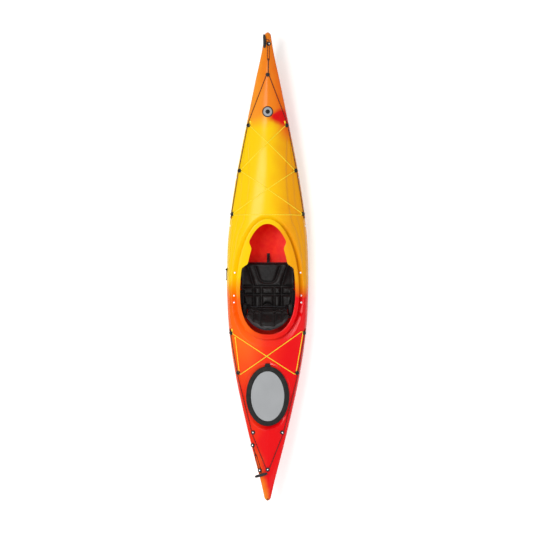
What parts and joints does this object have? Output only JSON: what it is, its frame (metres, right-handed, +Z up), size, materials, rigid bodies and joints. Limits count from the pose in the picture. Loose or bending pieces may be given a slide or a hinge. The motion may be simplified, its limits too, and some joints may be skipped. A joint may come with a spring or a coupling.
{
  "type": "sea kayak",
  "caption": "Rotomoulded touring kayak: decked hull with keyhole cockpit, padded seat and hinged backrest, oval stern hatch, foot braces, deck lines, bungees and carry handles.",
  "frame": {"origin": "on the ground under the middle of the hull's length, on the flat of the keel", "axes": "+Y to the bow along the hull's length, +X to starboard, +Z up"},
  "size_m": [0.6584, 3.6572, 0.3805],
  "materials": {
    "sunset_polyethylene": "satin",
    "closed_cell_foam": "matte",
    "black_moulding": "satin",
    "black_upholstery": "matte",
    "black_webbing": "matte",
    "stainless_steel": "satin",
    "deck_line": "matte",
    "yellow_bungee": "satin",
    "black_bungee": "matte",
    "aluminium_rod": "satin",
    "rim_rubber": "matte",
    "grip_rubber": "satin",
    "grey_plate": "satin"
  },
  "bodies": {
    "hull": {"hull_shell": "sunset_polyethylene", "rear_bulkhead": "closed_cell_foam", "bow_foam_pillar": "closed_cell_foam", "seat_pan": "black_moulding", "seat_pad": "black_upholstery", "seat_lift_strap": "black_webbing", "hip_pad_port": "closed_cell_foam", "hip_pad_starboard": "closed_cell_foam", "thigh_pad_port": "closed_cell_foam", "thigh_pad_starboard": "closed_cell_foam", "coaming_bolt_front_port": "stainless_steel", "coaming_bolt_front_starboard": "stainless_steel", "coaming_bolt_middle_port": "stainless_steel", "coaming_bolt_middle_starboard": "stainless_steel", "coaming_bolt_rear_port": "stainless_steel", "coaming_bolt_rear_starboard": "stainless_steel", "foot_rail_port": "black_moulding", "foot_rail_starboard": "black_moulding", "foot_rail_screw_front_port": "stainless_steel", "foot_rail_screw_front_starboard": "stainless_steel", "foot_rail_screw_rear_port": "stainless_steel", "foot_rail_screw_rear_starboard": "stainless_steel", "fore_fitting_1_port": "black_moulding", "fore_fitting_1_starboard": "black_moulding", "fore_fitting_2_port": "black_moulding", "fore_fitting_2_starboard": "black_moulding", "fore_fitting_3_port": "black_moulding", "fore_fitting_3_starboard": "black_moulding", "aft_fitting_1_port": "black_moulding", "aft_fitting_1_starboard": "black_moulding", "aft_fitting_2_port": "black_moulding", "aft_fitting_2_starboard": "black_moulding", "aft_fitting_3_port": "black_moulding", "aft_fitting_3_starboard": "black_moulding", "bow_padeye": "black_moulding", "stern_padeye": "black_moulding", "fore_deck_line": "deck_line", "aft_deck_line": "deck_line", "fore_bungee": "yellow_bungee", "aft_bungee": "yellow_bungee", "bow_handle_guide": "black_moulding", "bow_handle_bungee": "black_bungee", "stern_handle_anchor": "black_moulding", "stern_handle_guide": "black_moulding", "stern_handle_bungee": "black_bungee", "paddle_park_fitting": "black_moulding", "paddle_park_cord": "black_bungee", "backrest_strap_port": "black_webbing", "backrest_strap_starboard": "black_webbing"},
    "backrest": {"backrest_frame": "black_moulding", "backrest_pad": "black_upholstery", "backrest_hinge_rod": "aluminium_rod"},
    "hatch_cover": {"hatch_rim_seal": "rim_rubber", "hatch_plate": "grey_plate"},
    "pedal_port": {"foot_pedal_port": "black_moulding"},
    "pedal_starboard": {"foot_pedal_starboard": "black_moulding"},
    "bow_handle": {"bow_handle_grip": "grip_rubber", "bow_handle_cord": "deck_line"},
    "stern_handle": {"stern_handle_grip": "grip_rubber", "stern_handle_cord": "deck_line"}
  },
  "joints": [
    {"name": "backrest_fold", "type": "hinge", "parent": "hull", "child": "backrest", "pos_m": [0, -0.318, 0.1], "axis": [-1, 0, 0], "range_deg": [0, 60], "deforming": ["backrest_strap_port", "backrest_strap_starboard"]},
    {"name": "hatch_lift_off", "type": "slide", "parent": "hull", "child": "hatch_cover", "axis": [0, 0, 1], "range_m": [0, 0.12]},
    {"name": "pedal_slide_port", "type": "slide", "parent": "hull", "child": "pedal_port", "axis": [0.1362, 0.9897, 0.0439], "range_m": [-0.11, 0.11]},
    {"name": "pedal_slide_starboard", "type": "slide", "parent": "hull", "child": "pedal_starboard", "axis": [-0.1362, 0.9897, 0.0439], "range_m": [-0.11, 0.11]},
    {"name": "bow_handle_pull", "type": "slide", "parent": "hull", "child": "bow_handle", "axis": [0, 0.9977, 0.0675], "range_m": [0, 0.05], "stiffness_N_per_m": 150, "deforming": ["bow_handle_bungee"]},
    {"name": "stern_handle_pull", "type": "slide", "parent": "hull", "child": "stern_handle", "axis": [0.2792, -0.9503, 0.138], "range_m": [0, 0.025], "stiffness_N_per_m": 150, "deforming": ["stern_handle_bungee"]}
  ]
}
